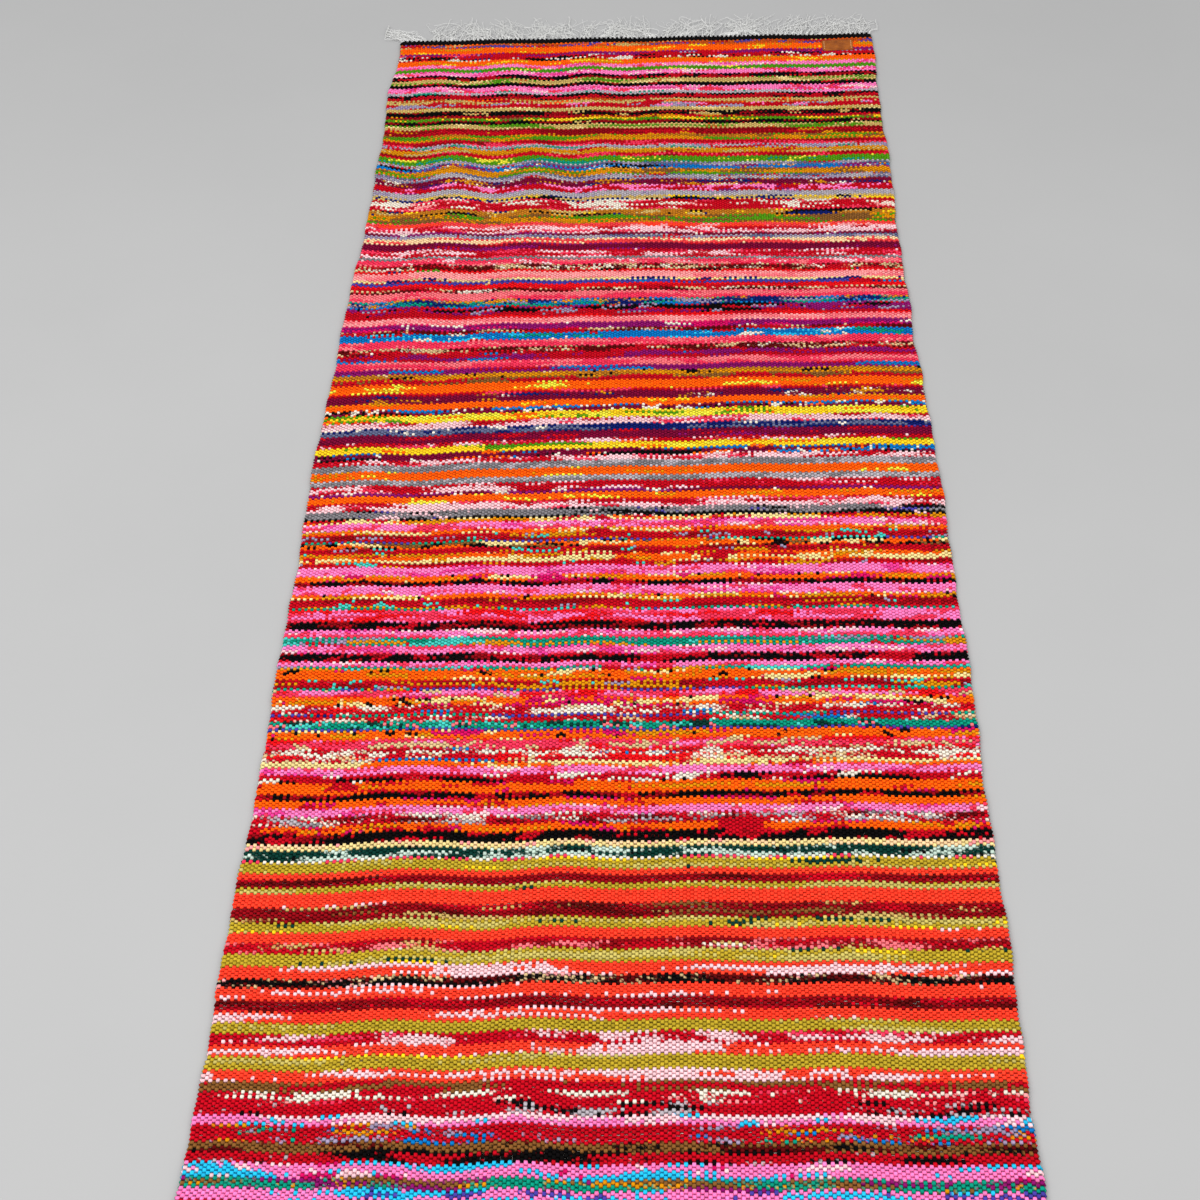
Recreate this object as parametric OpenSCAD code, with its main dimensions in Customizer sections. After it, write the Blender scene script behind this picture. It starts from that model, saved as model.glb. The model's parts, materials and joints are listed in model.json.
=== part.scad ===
// Flat-woven runner rug: coloured weft bands packed over a cotton warp, a black twined heading
// and a loose fringe at each end, and a small stitched leather label near one corner.
// X runs across the rug, Y along it towards the label end, and Z up from the floor.
// The rug folds along three lines, so its cloth is cut there into four flat panels.

/* [Cloth] */
// Width across the rug, selvedge to selvedge
rug_w = 750; // [500:10:1000]
// Woven length, without the fringes
woven_l = 2000; // [1600:50:2600]
// Thickness of the woven cloth
cloth_t = 5.5; // [4:0.5:7]
// Length of one black heading
heading_l = 11; // [8:1:20]

/* [Fringe] */
// Length of one loose fringe
fringe_l = 70; // [40:5:90]
// Thickness of a flat tassel
fringe_t = 3.6; // [2:0.1:5]
// Number of tassels at each end
tassel_count = 30; // [10:1:45]

/* [Warp] */
// Thickness of a warp end
warp_t = 1.6; // [1:0.1:2]
// Number of warp groups across the rug, four ends in each
warp_groups = 53; // [20:1:80]
// Gap between two warp groups
warp_gap = 0.8; // [0.4:0.1:2]
// Width of the turned weft at each selvedge
selvedge_w = 4; // [3:1:10]

/* [Label] */
// Label size across the rug
label_w = 48; // [30:1:80]
// Label size along the rug
label_l = 29; // [20:1:40]
// Thickness of the label's leather
label_t = 1.1; // [0.8:0.1:1.4]
// Distance from the label to the selvedge
label_inset = 32; // [10:1:100]
// Distance from the label to the heading
label_setback = 7; // [2:1:30]
// Stitches in each of the label's two rows
stitch_count = 5; // [3:1:8]
// Thickness of the stitching thread
thread_d = 0.6; // [0.3:0.1:0.8]

/* [Folds] */
// Height of an end panel's fold axis above the cloth
fold_lift = 2.0; // [0.9:0.1:3]
// Gap between the two folded ends when the middle is closed over them
stack_gap = 1.0; // [0.6:0.1:2]
// Gap between two panels
panel_gap = 0.3; // [0.2:0.1:0.4]

/* [Hidden] */
$fn = 32;

// Length of each weft band in equal small shares of the cloth, panel by panel, from the label end
far_end_shares = [18, 21, 21, 19, 22, 21, 21, 22];
far_half_shares = [20, 20, 19, 20, 20, 20, 22, 20, 21, 12, 16];
near_half_shares = [22, 20, 19, 20, 20, 20, 21, 21, 22, 15, 12];
near_end_shares = [19, 19, 22, 22, 17, 17, 22, 27];

// Main colour of each weft band, in the same order
far_end_colours = ["darkorange", "hotpink", "darkkhaki", "crimson", "limegreen", "crimson",
    "darkgoldenrod", "lightgray"];
far_half_colours = ["olivedrab", "crimson", "salmon", "mediumvioletred", "lightsalmon",
    "dodgerblue", "orange", "gold", "darkslateblue", "gray", "orangered"];
near_half_colours = ["crimson", "khaki", "hotpink", "orange", "pink", "orangered", "teal",
    "crimson", "orange", "olive", "tomato"];
near_end_colours = ["tomato", "olive", "tomato", "crimson", "mistyrose", "deeppink", "olive",
    "orange"];

shares = concat(far_end_shares, far_half_shares, near_half_shares, near_end_shares);
colours = concat(far_end_colours, far_half_colours, near_half_colours, near_end_colours);
band_count = len(shares);

// Sum of the first n numbers of a list
function total(list, n) = n == 0 ? 0 : list[n - 1] + total(list, n - 1);

share_l = (woven_l - 2 * heading_l) / total(shares, band_count);
woven_end = woven_l / 2;

// Y of a band's two edges
function band_far_y(i) = woven_end - heading_l - share_l * total(shares, i);
function band_near_y(i) = band_far_y(i + 1);
first_far_half = len(far_end_shares);
first_near_half = first_far_half + len(far_half_shares);
first_near_end = first_near_half + len(near_half_shares);

// Fold lines: the end panels fold in first, and the middle then closes over both of them
far_fold_y = band_far_y(first_far_half);
middle_fold_y = band_far_y(first_near_half);
near_fold_y = band_far_y(first_near_end);
fold_ys = [far_fold_y, middle_fold_y, near_fold_y];
end_fold_z = cloth_t + fold_lift;
middle_fold_z = 2 * end_fold_z + stack_gap / 2;
echo(fold_lines = fold_ys, end_fold_height = end_fold_z, middle_fold_height = middle_fold_z);

channel_slack = 0.05;
channel_w = rug_w - 2 * selvedge_w;
warp_pitch = channel_w / warp_groups;
warp_z = (cloth_t - warp_t) / 2;

tassel_pitch = rug_w / tassel_count;
tassel_root = 0.55;
tassel_belly = 0.86;
tassel_lean = 0.18;

label_x = rug_w / 2 - label_inset - label_w / 2;
label_y = woven_end - heading_l - label_setback - label_l / 2;
stitch_edge = 3;
stitch_pitch = (label_l - 2 * stitch_edge) / stitch_count;
stitch_l = 0.6 * stitch_pitch;
stitch_slack = 0.05;

function band_name(i) = str("weft_band_", i < 9 ? "0" : "", i + 1);
PANELS = ["far_end", "far_half", "near_half", "near_end"];

// Half a panel gap where y is a fold line, and nothing elsewhere
function trim(y) = len([for (f = fold_ys) if (abs(f - y) < 0.01) f]) > 0 ? panel_gap / 2 : 0;

// Woven slab from y0 to y1, closed at both selvedges, with a flat channel for the warp
module woven_slab(y0, y1) {
    difference() {
        translate([-rug_w / 2, y0, 0])
            cube([rug_w, y1 - y0, cloth_t]);
        translate([-channel_w / 2, y0 - 1, warp_z - channel_slack])
            cube([channel_w, y1 - y0 + 2, warp_t + 2 * channel_slack]);
    }
}

// One band of coloured picks
module weft_band(i) {
    y0 = band_near_y(i) + trim(band_near_y(i));
    y1 = band_far_y(i) - trim(band_far_y(i));
    color(colours[i])
        woven_slab(y0, y1);
}

// Black twined picks that lock the weft at one end
module heading(side) {
    color("black")
        mirror([0, side < 0 ? 1 : 0, 0])
            woven_slab(woven_end - heading_l, woven_end);
}

// Warp ends inside one panel, laid side by side in groups
module warp(y0, y1) {
    color("ivory")
        for (i = [0 : warp_groups - 1])
            translate([-channel_w / 2 + i * warp_pitch + warp_gap / 2, y0, warp_z])
                cube([warp_pitch - warp_gap, y1 - y0, warp_t]);
}

// One flat tassel of loose warp ends, which leans to one side
module tassel(lean) {
    root = tassel_root * tassel_pitch / 2;
    belly = tassel_belly * tassel_pitch / 2;
    shift = lean * tassel_lean * tassel_pitch / 2;
    linear_extrude(fringe_t)
        polygon([
            [-root, 0], [root, 0], [belly - abs(shift) / 2, fringe_l * 0.4],
            [shift + root / 2, fringe_l], [shift - root / 2, fringe_l],
            [-belly + abs(shift) / 2, fringe_l * 0.4]
        ]);
}

// Loose warp ends beyond one heading
module fringe(side) {
    color("whitesmoke")
        mirror([0, side < 0 ? 1 : 0, 0])
            for (i = [0 : tassel_count - 1])
                translate([(i + 0.5) * tassel_pitch - rug_w / 2, woven_end, 0])
                    tassel(i % 3 - 1);
}

// Places one copy at each hole of the label, at both ends of every stitch
module at_stitch_holes() {
    for (side = [-1, 1])
        for (i = [0 : stitch_count - 1])
            for (tip = [-1, 1])
                translate([
                    label_x + side * (label_w / 2 - stitch_edge),
                    label_y + (i + 0.5 - stitch_count / 2) * stitch_pitch + tip * stitch_l / 2,
                    cloth_t
                ])
                    children();
}

// Leather tab with two rows of stitch holes
module leather_label() {
    color("sienna")
        difference() {
            translate([label_x - label_w / 2, label_y - label_l / 2, cloth_t])
                cube([label_w, label_l, label_t]);
            at_stitch_holes()
                translate([0, 0, -1])
                    cylinder(h = label_t + 2, d = thread_d + 2 * stitch_slack);
        }
}

// Stitches: a bar on the leather with a leg down through each of its two holes
module label_stitches() {
    color("wheat")
        union() {
            at_stitch_holes()
                cylinder(h = label_t + thread_d / 2, d = thread_d);
            for (side = [-1, 1])
                for (i = [0 : stitch_count - 1])
                    translate([
                        label_x + side * (label_w / 2 - stitch_edge) - thread_d / 2,
                        label_y + (i + 0.5 - stitch_count / 2) * stitch_pitch - stitch_l / 2,
                        cloth_t + label_t
                    ])
                        cube([thread_d, stitch_l, thread_d / 2]);
        }
}

for (i = [0 : band_count - 1])
    weft_band(i);
warp(far_fold_y + panel_gap / 2, woven_end);  // warp_far_end
warp(middle_fold_y + panel_gap / 2, far_fold_y - panel_gap / 2);  // warp_far_half
warp(near_fold_y + panel_gap / 2, middle_fold_y - panel_gap / 2);  // warp_near_half
warp(-woven_end, near_fold_y - panel_gap / 2);  // warp_near_end
heading(1);  // heading_far
heading(-1);  // heading_near
fringe(1);  // fringe_far
fringe(-1);  // fringe_near
leather_label();
label_stitches();
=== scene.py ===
import json
import math
from statistics import NormalDist

import bpy
import numpy as np
from mathutils import Matrix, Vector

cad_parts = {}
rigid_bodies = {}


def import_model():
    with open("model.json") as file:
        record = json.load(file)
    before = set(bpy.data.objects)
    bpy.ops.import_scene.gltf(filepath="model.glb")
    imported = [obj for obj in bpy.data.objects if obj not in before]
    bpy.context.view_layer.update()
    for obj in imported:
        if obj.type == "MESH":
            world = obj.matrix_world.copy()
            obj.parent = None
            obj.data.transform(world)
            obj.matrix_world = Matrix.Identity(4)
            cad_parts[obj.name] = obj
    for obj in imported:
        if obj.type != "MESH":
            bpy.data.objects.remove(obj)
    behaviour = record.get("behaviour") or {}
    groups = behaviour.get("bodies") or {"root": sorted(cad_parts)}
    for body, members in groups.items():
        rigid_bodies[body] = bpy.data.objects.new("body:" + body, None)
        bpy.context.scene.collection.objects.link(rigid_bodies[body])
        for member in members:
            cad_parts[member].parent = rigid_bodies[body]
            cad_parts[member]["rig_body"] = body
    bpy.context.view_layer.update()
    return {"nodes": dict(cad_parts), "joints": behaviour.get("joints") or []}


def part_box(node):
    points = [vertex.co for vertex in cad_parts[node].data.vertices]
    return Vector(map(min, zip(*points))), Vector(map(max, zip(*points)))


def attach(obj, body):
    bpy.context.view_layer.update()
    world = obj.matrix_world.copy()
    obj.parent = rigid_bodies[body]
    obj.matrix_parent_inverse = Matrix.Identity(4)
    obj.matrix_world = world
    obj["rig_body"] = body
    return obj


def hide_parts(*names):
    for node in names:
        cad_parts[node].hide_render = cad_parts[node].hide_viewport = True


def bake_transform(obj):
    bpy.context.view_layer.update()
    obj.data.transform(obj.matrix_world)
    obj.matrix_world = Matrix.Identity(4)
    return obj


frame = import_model()

SEED = 4107
NORMAL = NormalDist()


# ---------------------------------------------------------------- sizes from the frame

JOINTS = {joint["name"]: joint for joint in frame["joints"]}
FAR_FOLD_Y = JOINTS["far_end_fold"]["pos_m"][1]
MIDDLE_FOLD_Y = JOINTS["middle_fold"]["pos_m"][1]
NEAR_FOLD_Y = JOINTS["near_end_fold"]["pos_m"][1]

band_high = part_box("weft_band_01")[1]
fringe_low, fringe_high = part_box("fringe_far")
HALF_WIDTH = band_high.x
CLOTH_T = band_high.z
WOVEN_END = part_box("heading_far")[1].y
FRINGE_L = fringe_high.y - fringe_low.y

# Warp ends across the rug, and the spacing of the picks along it
WARP_ENDS = 213
PICK_PITCH = 0.0023
# How far the weft loops out round the last warp end, and half a yarn's thickness
SELVEDGE_LOOP = 0.0023
YARN_R = 0.00125
EDGE_X = HALF_WIDTH - SELVEDGE_LOOP - YARN_R
WARP_PITCH = 2 * EDGE_X / (WARP_ENDS - 1)
WARP_X = np.linspace(-EDGE_X, EDGE_X, WARP_ENDS)
MID_Z = CLOTH_T / 2
# How far a bead's middle rises above or sinks below the warp
CROWN_LIFT = 0.00135
# The three sheets of warp meet this far on either side of the middle
SPLIT = 0.28


# ---------------------------------------------------------------- how the cloth lies

def smoothstep(low, high, value):
    t = np.clip((value - low) / (high - low), 0, 1)
    return t * t * (3 - 2 * t)


def bow(x, y):
    """How far a pick strays along the rug from a straight line across it."""
    # The picks slant near each selvedge, and change their slant part of the way along the rug.
    left = -0.0055 - 0.0045 * np.cos(2 * np.pi * (y - 0.1) / 0.68)
    left = left + (0.0030 - left) * smoothstep(0.38, 0.50, y)
    right = 0.0028 + 0.0010 * np.sin(2 * np.pi * y / 0.5)
    right = right + (-0.0036 - right) * smoothstep(0.33, 0.42, y)
    slope = left * smoothstep(0, 0.33, -x) + right * smoothstep(0, 0.22, x)
    # Puckers run along the left half, strongest at three places.
    crest = -0.17 + 0.03 * np.sin(2 * np.pi * (y - 0.35) / 0.9)
    size = (0.0010 + 0.0010 * smoothstep(-0.1, 0.3, y) + 0.0042 * np.exp(-((y - 0.63) / 0.13) ** 2)
            + 0.0026 * np.exp(-((y - 0.86) / 0.07) ** 2))
    size = size * (0.75 + 0.25 * np.sin(2 * np.pi * y / 0.29)) * (1 - smoothstep(0.93, 0.985, np.abs(y)))
    pucker = size * np.cos(2 * np.pi * (x - crest) / 0.118) * (1 - smoothstep(-0.08, 0.05, x))
    pucker = pucker + 0.0045 * np.exp(-((x + 0.225) / 0.045) ** 2) * np.exp(-((y + 0.50) / 0.16) ** 2)
    # A low wave crosses the whole width.
    narrow = 0.0010 * np.sin(2 * np.pi * (x / 0.145 - 0.6 * y) + 2.1)
    return slope * (1 - smoothstep(0.82, 0.97, np.abs(y))) + pucker + narrow


def edge_wobble(y, phase):
    """How far a selvedge strays sideways."""
    return (0.0013 * np.sin(2 * np.pi * y / 0.31 + phase) + 0.0009 * np.sin(2 * np.pi * y / 0.117 + 2 * phase)
            + 0.0005 * np.sin(2 * np.pi * y / 0.043 + 3 * phase))


def edge_drift(x, y):
    """The slow curve of each selvedge: how far the cloth is pulled in or out on its way along the rug."""
    right = 0.0030 - 0.0035 * smoothstep(-0.10, 0.10, y) - 0.0060 * smoothstep(0.19, 0.27, y)
    left = 0.0010 - 0.0070 * np.exp(-((y - 0.12) / 0.32) ** 2) - 0.0085 * np.exp(-((y - 0.84) / 0.055) ** 2)
    return right * smoothstep(0, HALF_WIDTH, x) + left * smoothstep(0, HALF_WIDTH, -x)


def ripple(x, y):
    """Low ripples that lift the cloth off the floor."""
    a = np.sin(2 * np.pi * (y / 0.34 + 0.5 * x) + 0.8)
    b = np.sin(2 * np.pi * (y / 0.19 - 0.9 * x) + 2.4) * np.sin(2 * np.pi * x / 0.52 + 0.5)
    return 0.0008 * (0.5 + 0.25 * a + 0.25 * b)


def lay(points):
    """Lays flat points (x, y, z) on the floor the way the rug really lies."""
    x, y, z = points[:, 0], points[:, 1], points[:, 2]
    laid = np.empty_like(points)
    right = smoothstep(0.15, HALF_WIDTH, x) * edge_wobble(y, 1.0)
    left = smoothstep(0.15, HALF_WIDTH, -x) * edge_wobble(y, 3.7)
    laid[:, 0] = x + right + left + edge_drift(x, y)
    laid[:, 1] = y + bow(x, y)
    laid[:, 2] = z + ripple(x, y)
    return laid


# ---------------------------------------------------------------- yarn colours

PALETTE = {
    "crimson": (186, 8, 28), "dark_red": (138, 3, 20), "bright_red": (225, 18, 24), "tomato": (255, 62, 40),
    "coral": (232, 62, 66), "pale_pink": (240, 192, 198), "pink": (248, 120, 182), "hot_pink": (226, 58, 140),
    "rose": (232, 52, 84), "salmon": (240, 112, 120), "light_salmon": (246, 150, 150),
    "magenta": (200, 14, 90), "burgundy": (116, 0, 48), "plum": (132, 18, 98), "maroon": (88, 0, 12),
    "orange": (255, 92, 6),
    "amber": (208, 134, 10), "yellow": (238, 196, 30), "lemon": (226, 216, 60), "cream": (232, 208, 140),
    "ivory": (224, 214, 198), "beige": (206, 176, 128), "peach": (240, 202, 154), "khaki": (196, 166, 96),
    "olive": (178, 152, 40), "light_olive": (190, 174, 92), "golden": (176, 110, 28), "brown": (128, 84, 40),
    "rust": (188, 78, 22), "green": (78, 142, 18), "pine": (0, 52, 44), "teal": (0, 142, 116),
    "aqua": (66, 190, 178), "cyan": (36, 182, 224), "blue": (0, 112, 184), "indigo": (68, 58, 150),
    "navy": (14, 28, 96), "slate": (92, 98, 130), "lilac": (150, 136, 164), "grey": (122, 118, 122),
    "light_grey": (170, 162, 168), "mint": (186, 206, 192), "black": (12, 10, 11),
}

# A mix is a yarn's main colour, then its other colours as (name, share, run in warp ends).
MIXES = {
    "amber_green": ("amber", ("golden", 0.20, 5), ("green", 0.28, 8), ("brown", 0.15, 4)),
    "black": ("black", ("khaki", 0.14, 3), ("dark_red", 0.15, 4)),
    "black_beige": ("black", ("maroon", 0.42, 2), ("beige", 0.24, 1), ("light_salmon", 0.12, 1)),
    "black_mix": ("black", ("crimson", 0.42, 5), ("ivory", 0.12, 2), ("navy", 0.10, 4)),
    "black_white_red": ("crimson", ("black", 0.30, 5), ("ivory", 0.36, 3)),
    "blue_white": ("blue", ("cyan", 0.22, 4), ("ivory", 0.16, 2), ("crimson", 0.22, 9), ("teal", 0.10, 5)),
    "bright_red": ("bright_red", ("crimson", 0.30, 5)),
    "brown_black": ("brown", ("black", 0.30, 3), ("maroon", 0.25, 4)),
    "brown_crimson": ("brown", ("crimson", 0.42, 6)),
    "burgundy": ("burgundy", ("plum", 0.20, 9), ("crimson", 0.06, 5)),
    "burgundy_blue": ("burgundy", ("blue", 0.20, 5), ("orange", 0.12, 3), ("black", 0.14, 6),
                      ("ivory", 0.06, 1)),
    "burgundy_dots": ("burgundy", ("amber", 0.12, 2), ("ivory", 0.08, 1), ("navy", 0.12, 5)),
    "coral": ("coral", ("tomato", 0.20, 6), ("light_salmon", 0.14, 3)),
    "coral_peach": ("coral", ("peach", 0.32, 7)),
    "cream_navy": ("cream", ("navy", 0.24, 4), ("beige", 0.3, 3)),
    "cream_orange": ("cream", ("orange", 0.36, 7), ("crimson", 0.10, 3), ("amber", 0.12, 4)),
    "crimson": ("crimson", ("rose", 0.16, 4), ("dark_red", 0.10, 6)),
    "crimson_amber": ("crimson", ("dark_red", 0.34, 7), ("amber", 0.17, 6), ("aqua", 0.05, 3),
                      ("lilac", 0.04, 3)),
    "crimson_beads": ("crimson", ("teal", 0.13, 5), ("amber", 0.10, 3), ("lilac", 0.06, 2),
                      ("blue", 0.05, 3)),
    "crimson_beige": ("crimson", ("bright_red", 0.25, 6), ("ivory", 0.20, 2), ("beige", 0.10, 2),
                      ("blue", 0.04, 7)),
    "crimson_black": ("crimson", ("black", 0.26, 5), ("light_grey", 0.06, 2)),
    "crimson_brown": ("crimson", ("brown", 0.34, 5), ("amber", 0.12, 3)),
    "crimson_grey": ("crimson", ("lilac", 0.34, 4), ("pink", 0.12, 3)),
    "crimson_pale": ("crimson", ("pale_pink", 0.36, 4), ("rose", 0.12, 3)),
    "crimson_pink": ("crimson", ("pink", 0.34, 2), ("plum", 0.10, 4)),
    "crimson_white": ("crimson", ("rose", 0.14, 4), ("light_salmon", 0.10, 3), ("ivory", 0.26, 4)),
    "cyan_pink": ("pink", ("cyan", 0.44, 7), ("indigo", 0.06, 3)),
    "dark_black": ("black", ("crimson", 0.22, 2), ("dark_red", 0.14, 2)),
    "dark_crimson": ("dark_red", ("crimson", 0.34, 9), ("maroon", 0.16, 5)),
    "dark_red": ("dark_red", ("crimson", 0.30, 6), ("amber", 0.06, 3)),
    "gold_khaki": ("amber", ("khaki", 0.40, 5), ("crimson", 0.10, 3)),
    "golden_brown": ("golden", ("black", 0.16, 3), ("amber", 0.26, 5), ("beige", 0.10, 2)),
    "green": ("green", ("lemon", 0.10, 3), ("teal", 0.08, 5)),
    "green_plum": ("teal", ("brown", 0.30, 6), ("plum", 0.20, 4), ("amber", 0.08, 2)),
    "green_yellow": ("green", ("yellow", 0.34, 6), ("brown", 0.10, 4)),
    "grey": ("grey", ("light_grey", 0.26, 2)),
    "grey_black": ("grey", ("black", 0.28, 5), ("pale_pink", 0.08, 2), ("indigo", 0.07, 4)),
    "grey_lilac": ("light_grey", ("lilac", 0.36, 4), ("crimson", 0.12, 3), ("slate", 0.18, 5)),
    "grey_pink": ("light_grey", ("pink", 0.36, 5), ("teal", 0.14, 4)),
    "indigo": ("indigo", ("navy", 0.20, 5), ("teal", 0.20, 8)),
    "indigo_slate": ("navy", ("slate", 0.34, 3), ("indigo", 0.16, 6), ("ivory", 0.08, 2)),
    "khaki": ("khaki", ("cream", 0.20, 4), ("olive", 0.20, 6)),
    "khaki_green": ("khaki", ("green", 0.20, 6), ("cream", 0.03, 3), ("rust", 0.06, 4)),
    "khaki_orange": ("khaki", ("crimson", 0.22, 8), ("rust", 0.16, 6), ("orange", 0.06, 4)),
    "light_grey": ("light_grey", ("lilac", 0.12, 3), ("pale_pink", 0.05, 2)),
    "light_pink": ("pink", ("pale_pink", 0.20, 4), ("cyan", 0.04, 3)),
    "light_salmon": ("light_salmon", ("salmon", 0.34, 5)),
    "maroon_beige": ("maroon", ("crimson", 0.24, 4), ("beige", 0.16, 2), ("ivory", 0.03, 1)),
    "maroon_khaki": ("dark_red", ("maroon", 0.2, 3), ("crimson", 0.2, 6), ("khaki", 0.22, 9),
                     ("brown", 0.16, 7)),
    "maroon_pink": ("dark_red", ("salmon", 0.24, 2), ("khaki", 0.12, 4), ("ivory", 0.07, 3),
                    ("crimson", 0.2, 5)),
    "mauve_teal": ("light_grey", ("crimson", 0.30, 4), ("teal", 0.20, 6), ("lilac", 0.20, 3)),
    "medley": ("plum", ("blue", 0.18, 4), ("amber", 0.18, 4), ("black", 0.18, 4), ("ivory", 0.08, 1)),
    "navy_teal": ("navy", ("teal", 0.24, 6), ("blue", 0.16, 5), ("amber", 0.10, 2), ("lilac", 0.12, 4)),
    "olive": ("olive", ("light_olive", 0.30, 14), ("yellow", 0.03, 10), ("pine", 0.012, 12)),
    "orange": ("orange", ("lemon", 0.05, 3), ("amber", 0.05, 4)),
    "orange_black": ("orange", ("brown", 0.22, 5), ("black", 0.10, 2), ("cream", 0.16, 3)),
    "orange_cream": ("orange", ("cream", 0.24, 5), ("magenta", 0.12, 4), ("amber", 0.16, 5),
                     ("black", 0.04, 1)),
    "orange_crimson": ("orange", ("amber", 0.14, 6), ("magenta", 0.12, 4), ("crimson", 0.12, 3)),
    "orange_yellow": ("orange", ("yellow", 0.09, 4), ("amber", 0.12, 5)),
    "palepink_tomato": ("pale_pink", ("tomato", 0.44, 9)),
    "peach": ("peach", ("cream", 0.30, 2), ("light_salmon", 0.10, 2)),
    "pine_white": ("pine", ("mint", 0.34, 3), ("black", 0.14, 3)),
    "pink": ("pink", ("hot_pink", 0.14, 3), ("rose", 0.14, 2), ("pale_pink", 0.08, 3)),
    "pink_cyan": ("pink", ("cyan", 0.14, 6), ("magenta", 0.10, 4), ("pale_pink", 0.10, 3)),
    "pink_red": ("rose", ("pink", 0.40, 3), ("bright_red", 0.24, 3)),
    "pink_white": ("rose", ("ivory", 0.50, 2)),
    "plum": ("plum", ("burgundy", 0.40, 8), ("ivory", 0.05, 2)),
    "plum_blue": ("plum", ("blue", 0.26, 8), ("crimson", 0.20, 5)),
    "plum_grey": ("plum", ("lilac", 0.28, 5), ("crimson", 0.16, 4), ("rose", 0.1, 5)),
    "plum_white": ("plum", ("magenta", 0.22, 5), ("ivory", 0.12, 3)),
    "purple_blue": ("indigo", ("crimson", 0.42, 5), ("blue", 0.16, 5), ("beige", 0.08, 1),
                    ("navy", 0.1, 4)),
    "red_mix": ("bright_red", ("navy", 0.20, 6), ("black", 0.10, 4), ("green", 0.05, 4)),
    "red_pink_beige": ("rose", ("bright_red", 0.36, 4), ("pink", 0.14, 4), ("beige", 0.12, 2)),
    "red_purple": ("crimson", ("plum", 0.34, 6), ("black", 0.14, 5), ("lilac", 0.10, 3)),
    "rose_salmon": ("rose", ("salmon", 0.48, 4)),
    "rust": ("rust", ("orange", 0.2, 6), ("crimson", 0.18, 4), ("indigo", 0.10, 3), ("khaki", 0.10, 3)),
    "salmon_rose": ("salmon", ("rose", 0.34, 4), ("pale_pink", 0.1, 2)),
    "teal": ("teal", ("aqua", 0.16, 2), ("pine", 0.16, 3), ("salmon", 0.04, 2)),
    "teal_amber": ("teal", ("amber", 0.26, 10), ("lilac", 0.14, 6), ("crimson", 0.16, 4),
                   ("aqua", 0.14, 4)),
    "teal_row": ("teal", ("aqua", 0.26, 6), ("indigo", 0.26, 12), ("amber", 0.08, 8)),
    "tomato": ("tomato", ("pale_pink", 0.015, 10)),
    "tomato_pale": ("tomato", ("pale_pink", 0.62, 7)),
    "tomato_white": ("tomato", ("pale_pink", 0.20, 14)),
    "white_crimson": ("crimson", ("light_grey", 0.26, 2), ("ivory", 0.16, 2), ("grey", 0.10, 2),
                      ("maroon", 0.10, 3)),
    "yellow_black": ("golden", ("yellow", 0.30, 4), ("black", 0.30, 7), ("navy", 0.10, 5),
                     ("khaki", 0.12, 3)),
    "yellow_green": ("yellow", ("green", 0.18, 6), ("orange", 0.12, 5), ("lemon", 0.2, 4)),
    "yellow_navy": ("khaki", ("yellow", 0.30, 5), ("navy", 0.30, 8), ("black", 0.12, 5),
                    ("light_grey", 0.1, 3)),
}

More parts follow.
